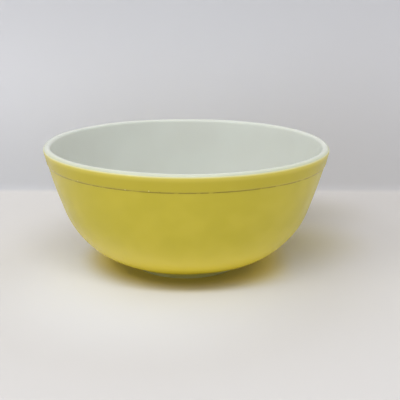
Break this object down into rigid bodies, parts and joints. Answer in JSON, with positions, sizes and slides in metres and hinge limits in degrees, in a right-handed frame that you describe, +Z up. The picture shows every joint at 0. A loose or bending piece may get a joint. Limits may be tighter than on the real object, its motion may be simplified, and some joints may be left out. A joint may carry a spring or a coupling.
{
  "type": "mixing bowl",
  "caption": "Deep round pressed-glass mixing bowl with a rounded lip, a plain collar band, a foot ring and a yellow enamelled outside over a bare white inside.",
  "frame": {"origin": "middle of the foot ring's flat face, where the bowl stands on the table", "axes": "+Z up along the bowl's axis, out of its mouth; X and Y are free because the bowl is round"},
  "size_m": [0.2666, 0.2666, 0.1175],
  "materials": {
    "opal_glass": "gloss",
    "yellow_enamel": "gloss"
  },
  "bodies": {
    "root": {"opal_glass_bowl": "opal_glass", "yellow_enamel_coat": "yellow_enamel"}
  },
  "joints": []
}
